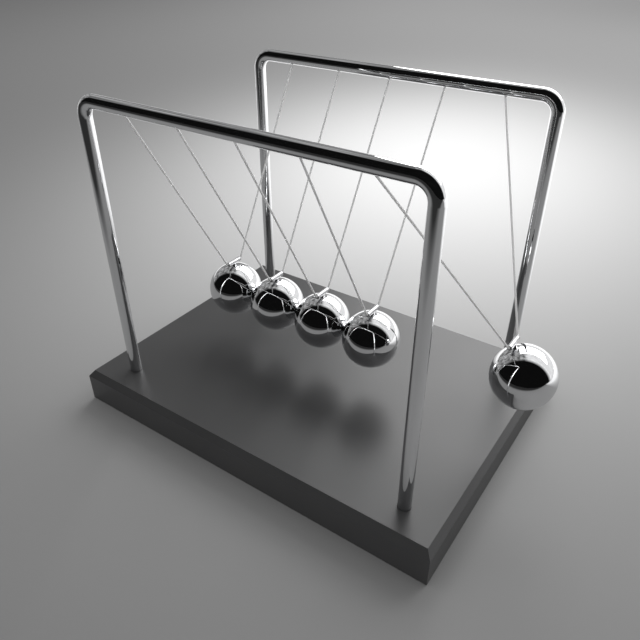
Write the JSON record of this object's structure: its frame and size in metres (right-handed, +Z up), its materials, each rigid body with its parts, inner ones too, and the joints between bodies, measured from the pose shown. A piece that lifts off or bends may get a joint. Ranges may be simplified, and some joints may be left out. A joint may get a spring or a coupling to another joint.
{
  "type": "newton's cradle",
  "caption": "Desk toy: a bevelled board carries two bent tube frames, and polished balls hang between them in a row on V-shaped lines, the end ball drawn aside.",
  "frame": {"origin": "centre of the board's footprint, on the surface that the felt stands on", "axes": "+X along the row of balls towards the lifted ball, +Z up, -Y towards the front rail"},
  "size_m": [0.1684, 0.1136, 0.1249],
  "materials": {
    "black_board": "satin black lacquer on fibreboard",
    "felt": "short dark felt",
    "chrome_tube": "mirror chrome plate",
    "chrome_ball": "mirror polished plate",
    "brass_plug": "turned",
    "steel_fastener": "zinc plated",
    "nylon_line": "clear monofilament"
  },
  "bodies": {
    "stand": {"base_board": "black_board", "felt_underlay": "felt", "front_frame": "chrome_tube", "back_frame": "chrome_tube", "frame_plugs": "brass_plug", "frame_washers": "steel_fastener", "frame_screws": "steel_fastener", "front_line_knots": "nylon_line", "back_line_knots": "nylon_line"},
    "ball_1_pendulum": {"ball_1": "chrome_ball", "ball_1_stud": "chrome_ball", "ball_1_eyelet": "chrome_tube", "ball_1_line": "nylon_line"},
    "ball_2_pendulum": {"ball_2": "chrome_ball", "ball_2_stud": "chrome_ball", "ball_2_eyelet": "chrome_tube", "ball_2_line": "nylon_line"},
    "ball_3_pendulum": {"ball_3": "chrome_ball", "ball_3_stud": "chrome_ball", "ball_3_eyelet": "chrome_tube", "ball_3_line": "nylon_line"},
    "ball_4_pendulum": {"ball_4": "chrome_ball", "ball_4_stud": "chrome_ball", "ball_4_eyelet": "chrome_tube", "ball_4_line": "nylon_line"},
    "ball_5_pendulum": {"ball_5": "chrome_ball", "ball_5_stud": "chrome_ball", "ball_5_eyelet": "chrome_tube", "ball_5_line": "nylon_line"}
  },
  "joints": [
    {"name": "ball_1_swing", "type": "hinge", "parent": "stand", "child": "ball_1_pendulum", "pos_m": [-0.0446, 0, 0.12022], "axis": [0, -1, 0], "range_deg": [-60, 0]},
    {"name": "ball_2_swing", "type": "hinge", "parent": "stand", "child": "ball_2_pendulum", "pos_m": [-0.0223, 0, 0.12022], "axis": [0, -1, 0], "range_deg": [-60, 0]},
    {"name": "ball_3_swing", "type": "hinge", "parent": "stand", "child": "ball_3_pendulum", "pos_m": [0, 0, 0.12022], "axis": [0, -1, 0], "range_deg": [-60, 0]},
    {"name": "ball_4_swing", "type": "hinge", "parent": "stand", "child": "ball_4_pendulum", "pos_m": [0.0223, 0, 0.12022], "axis": [0, -1, 0], "range_deg": [-60, 0]},
    {"name": "ball_5_swing", "type": "hinge", "parent": "stand", "child": "ball_5_pendulum", "pos_m": [0.0446, 0, 0.12022], "axis": [0, -1, 0], "range_deg": [-25.1, 34.9]}
  ],
  "couplings": [
    {"joint": "ball_2_swing", "follows": "ball_1_swing", "ratio": 1},
    {"joint": "ball_3_swing", "follows": "ball_1_swing", "ratio": 1},
    {"joint": "ball_4_swing", "follows": "ball_1_swing", "ratio": 1}
  ]
}
